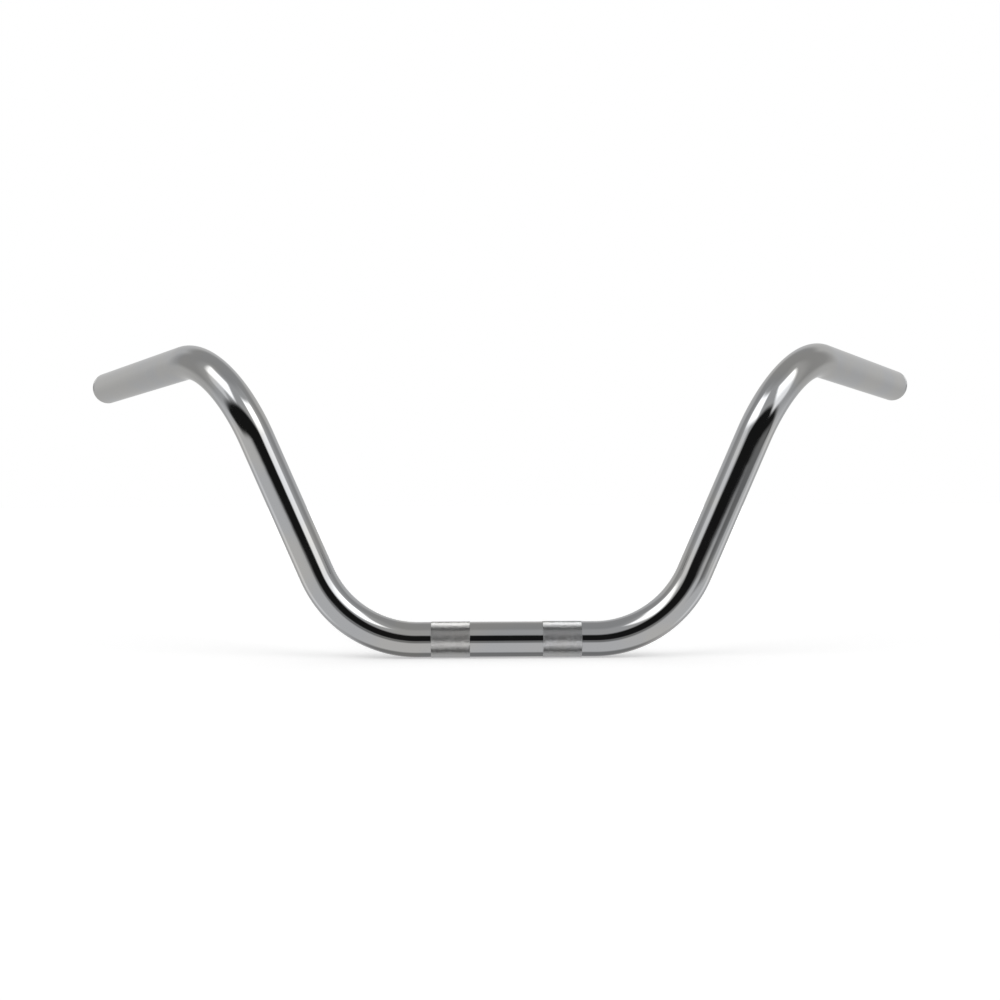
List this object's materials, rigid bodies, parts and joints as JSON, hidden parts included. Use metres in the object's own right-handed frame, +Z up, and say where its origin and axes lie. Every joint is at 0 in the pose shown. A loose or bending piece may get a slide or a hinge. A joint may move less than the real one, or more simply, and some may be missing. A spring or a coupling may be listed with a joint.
{
  "type": "motorcycle handlebar",
  "caption": "Chrome pull-back motorcycle handlebar: one bent round tube with tall splayed risers, swept-back grips, knurled clamp sleeves and domed end plugs.",
  "frame": {"origin": "on the tube's axis, in the middle of the clamp section, halfway between the two knurled sleeves", "axes": "+X along the clamp section to the rider's left, +Y back to the rider, +Z up. The risers lie in the XZ plane; the grips run back, outwards and slightly down."},
  "size_m": [0.6904, 0.2319, 0.2282],
  "materials": {
    "tube_chrome": "bright polished chrome plate",
    "knurl_chrome": "chrome plate over a fine diamond knurl",
    "plug_chrome": "turned and chrome plated",
    "seal_rubber": "black nitrile rubber"
  },
  "bodies": {
    "root": {"bar_tube": "tube_chrome", "knurl_sleeve_left": "knurl_chrome", "knurl_sleeve_right": "knurl_chrome", "end_plug_left": "plug_chrome", "end_plug_right": "plug_chrome", "outer_o_ring_left": "seal_rubber", "outer_o_ring_right": "seal_rubber", "inner_o_ring_left": "seal_rubber", "inner_o_ring_right": "seal_rubber"}
  },
  "joints": []
}
